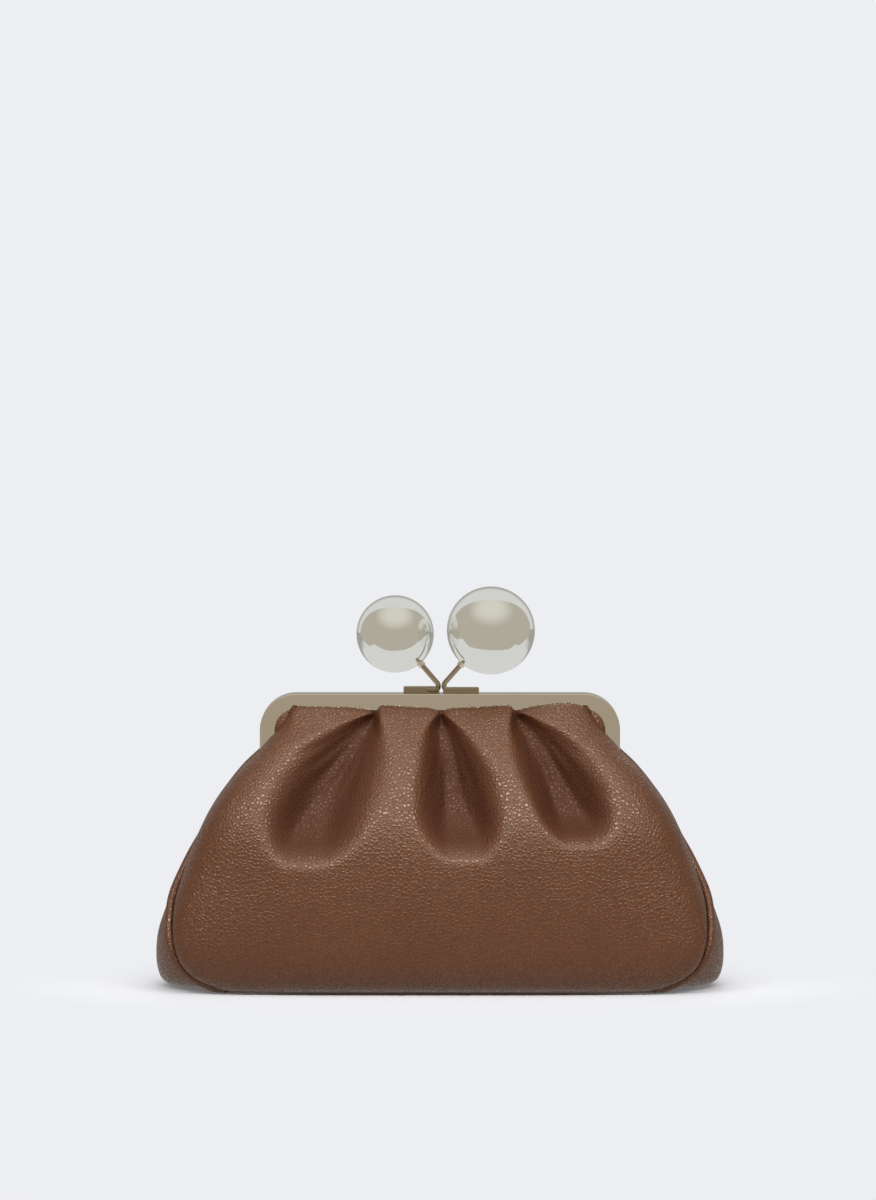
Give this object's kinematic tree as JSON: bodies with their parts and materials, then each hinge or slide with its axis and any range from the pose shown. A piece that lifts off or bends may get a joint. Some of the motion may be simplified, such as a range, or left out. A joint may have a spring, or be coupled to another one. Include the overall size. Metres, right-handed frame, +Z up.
{
  "type": "kiss lock frame purse",
  "caption": "Pleated soft leather clutch purse on a hinged metal channel frame, shut by a kiss lock of bent stems that end in hollow metal balls.",
  "frame": {"origin": "middle of the base on the surface that the purse stands on", "axes": "+Z up, +X along the frame towards the larger ball, -Y out of the front panel"},
  "size_m": [0.29, 0.1168, 0.2047],
  "materials": {
    "brown_leather": "pebbled full grain, soft sheen",
    "foam_padding": "open foam sheet",
    "lining_cloth": "woven twill",
    "plated_metal": "polished pale champagne plating",
    "paper_cord": "twisted paper",
    "grey_board": "plain grey board"
  },
  "bodies": {
    "bag": {"front_panel": "brown_leather", "back_panel": "brown_leather", "front_padding": "foam_padding", "back_padding": "foam_padding", "front_lining": "lining_cloth", "back_lining": "lining_cloth", "gusset": "brown_leather", "gusset_lining": "lining_cloth", "base_board": "grey_board", "front_piping": "brown_leather", "back_piping": "brown_leather", "left_hinge_pin": "plated_metal", "right_hinge_pin": "plated_metal"},
    "front_half": {"front_frame": "plated_metal", "front_stem": "plated_metal", "front_stem_rivets": "plated_metal", "large_ball": "plated_metal", "large_ball_collar": "plated_metal", "front_filler_cord": "paper_cord", "front_gathers": "brown_leather"},
    "back_half": {"back_frame": "plated_metal", "back_stem": "plated_metal", "back_stem_rivets": "plated_metal", "small_ball": "plated_metal", "small_ball_collar": "plated_metal", "back_filler_cord": "paper_cord", "back_gathers": "brown_leather"}
  },
  "joints": [
    {"name": "front_open", "type": "hinge", "parent": "bag", "child": "front_half", "pos_m": [0, 0, 0.092], "axis": [1, 0, 0], "range_deg": [0, 45]},
    {"name": "back_open", "type": "hinge", "parent": "bag", "child": "back_half", "pos_m": [0, 0, 0.092], "axis": [-1, 0, 0], "range_deg": [0, 45]}
  ],
  "couplings": [
    {"joint": "back_open", "follows": "front_open", "ratio": 1}
  ]
}
